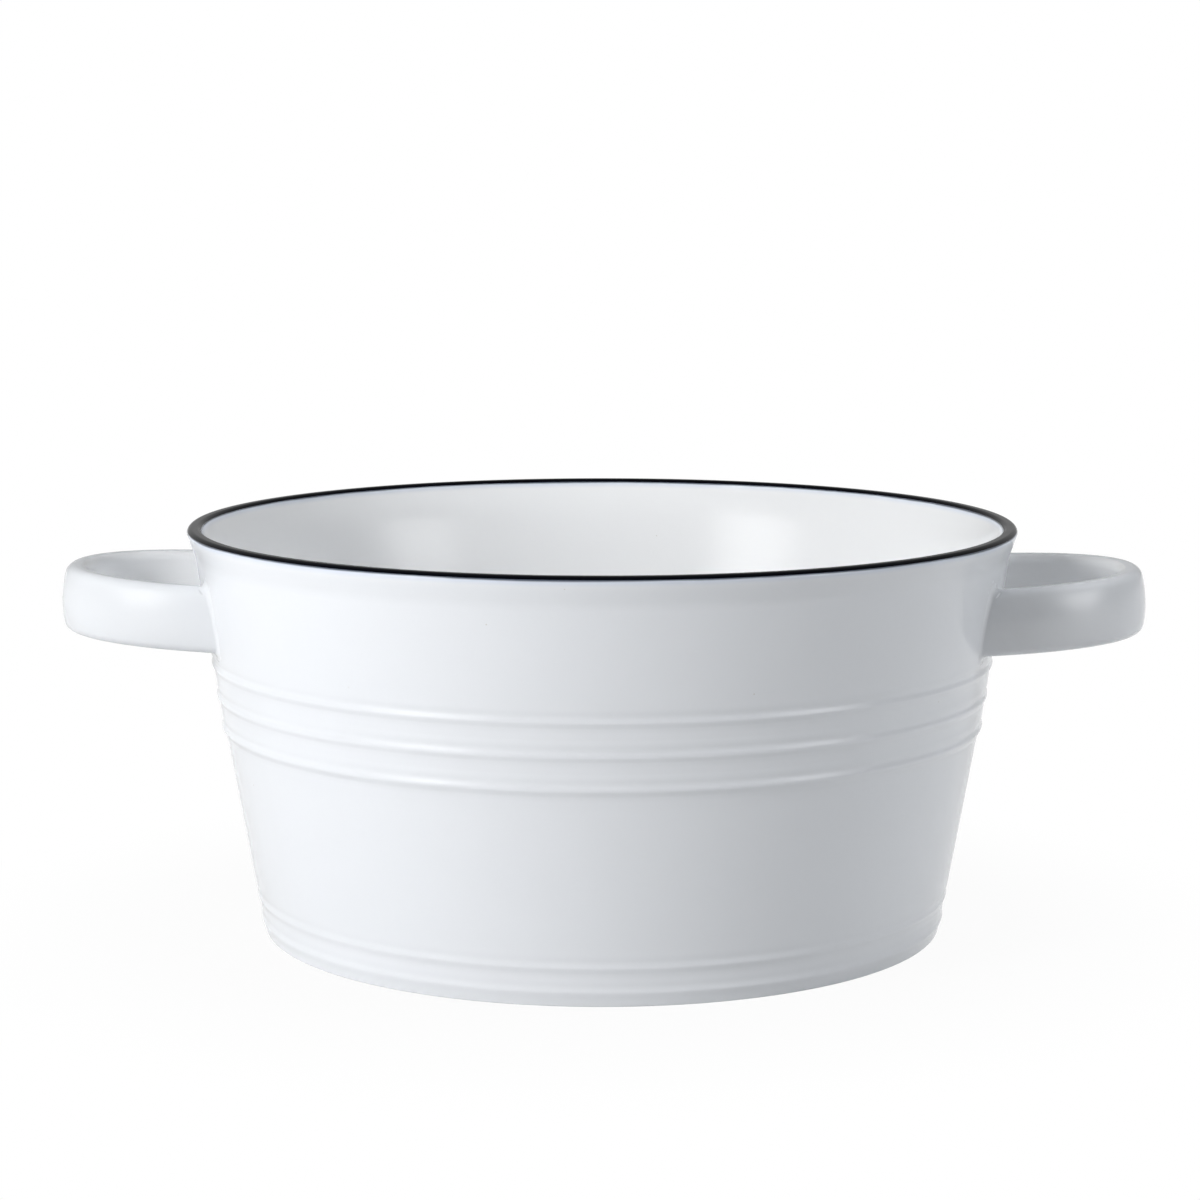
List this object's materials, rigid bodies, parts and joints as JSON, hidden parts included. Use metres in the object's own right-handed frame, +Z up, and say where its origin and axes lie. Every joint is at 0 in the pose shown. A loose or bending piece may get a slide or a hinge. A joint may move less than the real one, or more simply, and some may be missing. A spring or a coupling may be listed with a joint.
{
  "type": "serving bowl",
  "caption": "White porcelain serving bowl shaped like a low bucket, with a dark glazed lip, lapped lines round the wall and base, and a strap loop handle on each side.",
  "frame": {"origin": "on the bowl's axis, level with the bottom of the foot ring", "axes": "+Z up along the bowl's axis, +X towards the right handle"},
  "size_m": [0.2626, 0.2, 0.0986],
  "materials": {
    "porcelain": "cool white porcelain under a glossy clear glaze",
    "dark_glaze": "glossy blue-black glaze"
  },
  "bodies": {
    "root": {"bowl_body": "porcelain", "rim_band": "dark_glaze", "left_handle": "porcelain", "right_handle": "porcelain", "left_front_slip": "porcelain", "left_back_slip": "porcelain", "right_front_slip": "porcelain", "right_back_slip": "porcelain"}
  },
  "joints": []
}
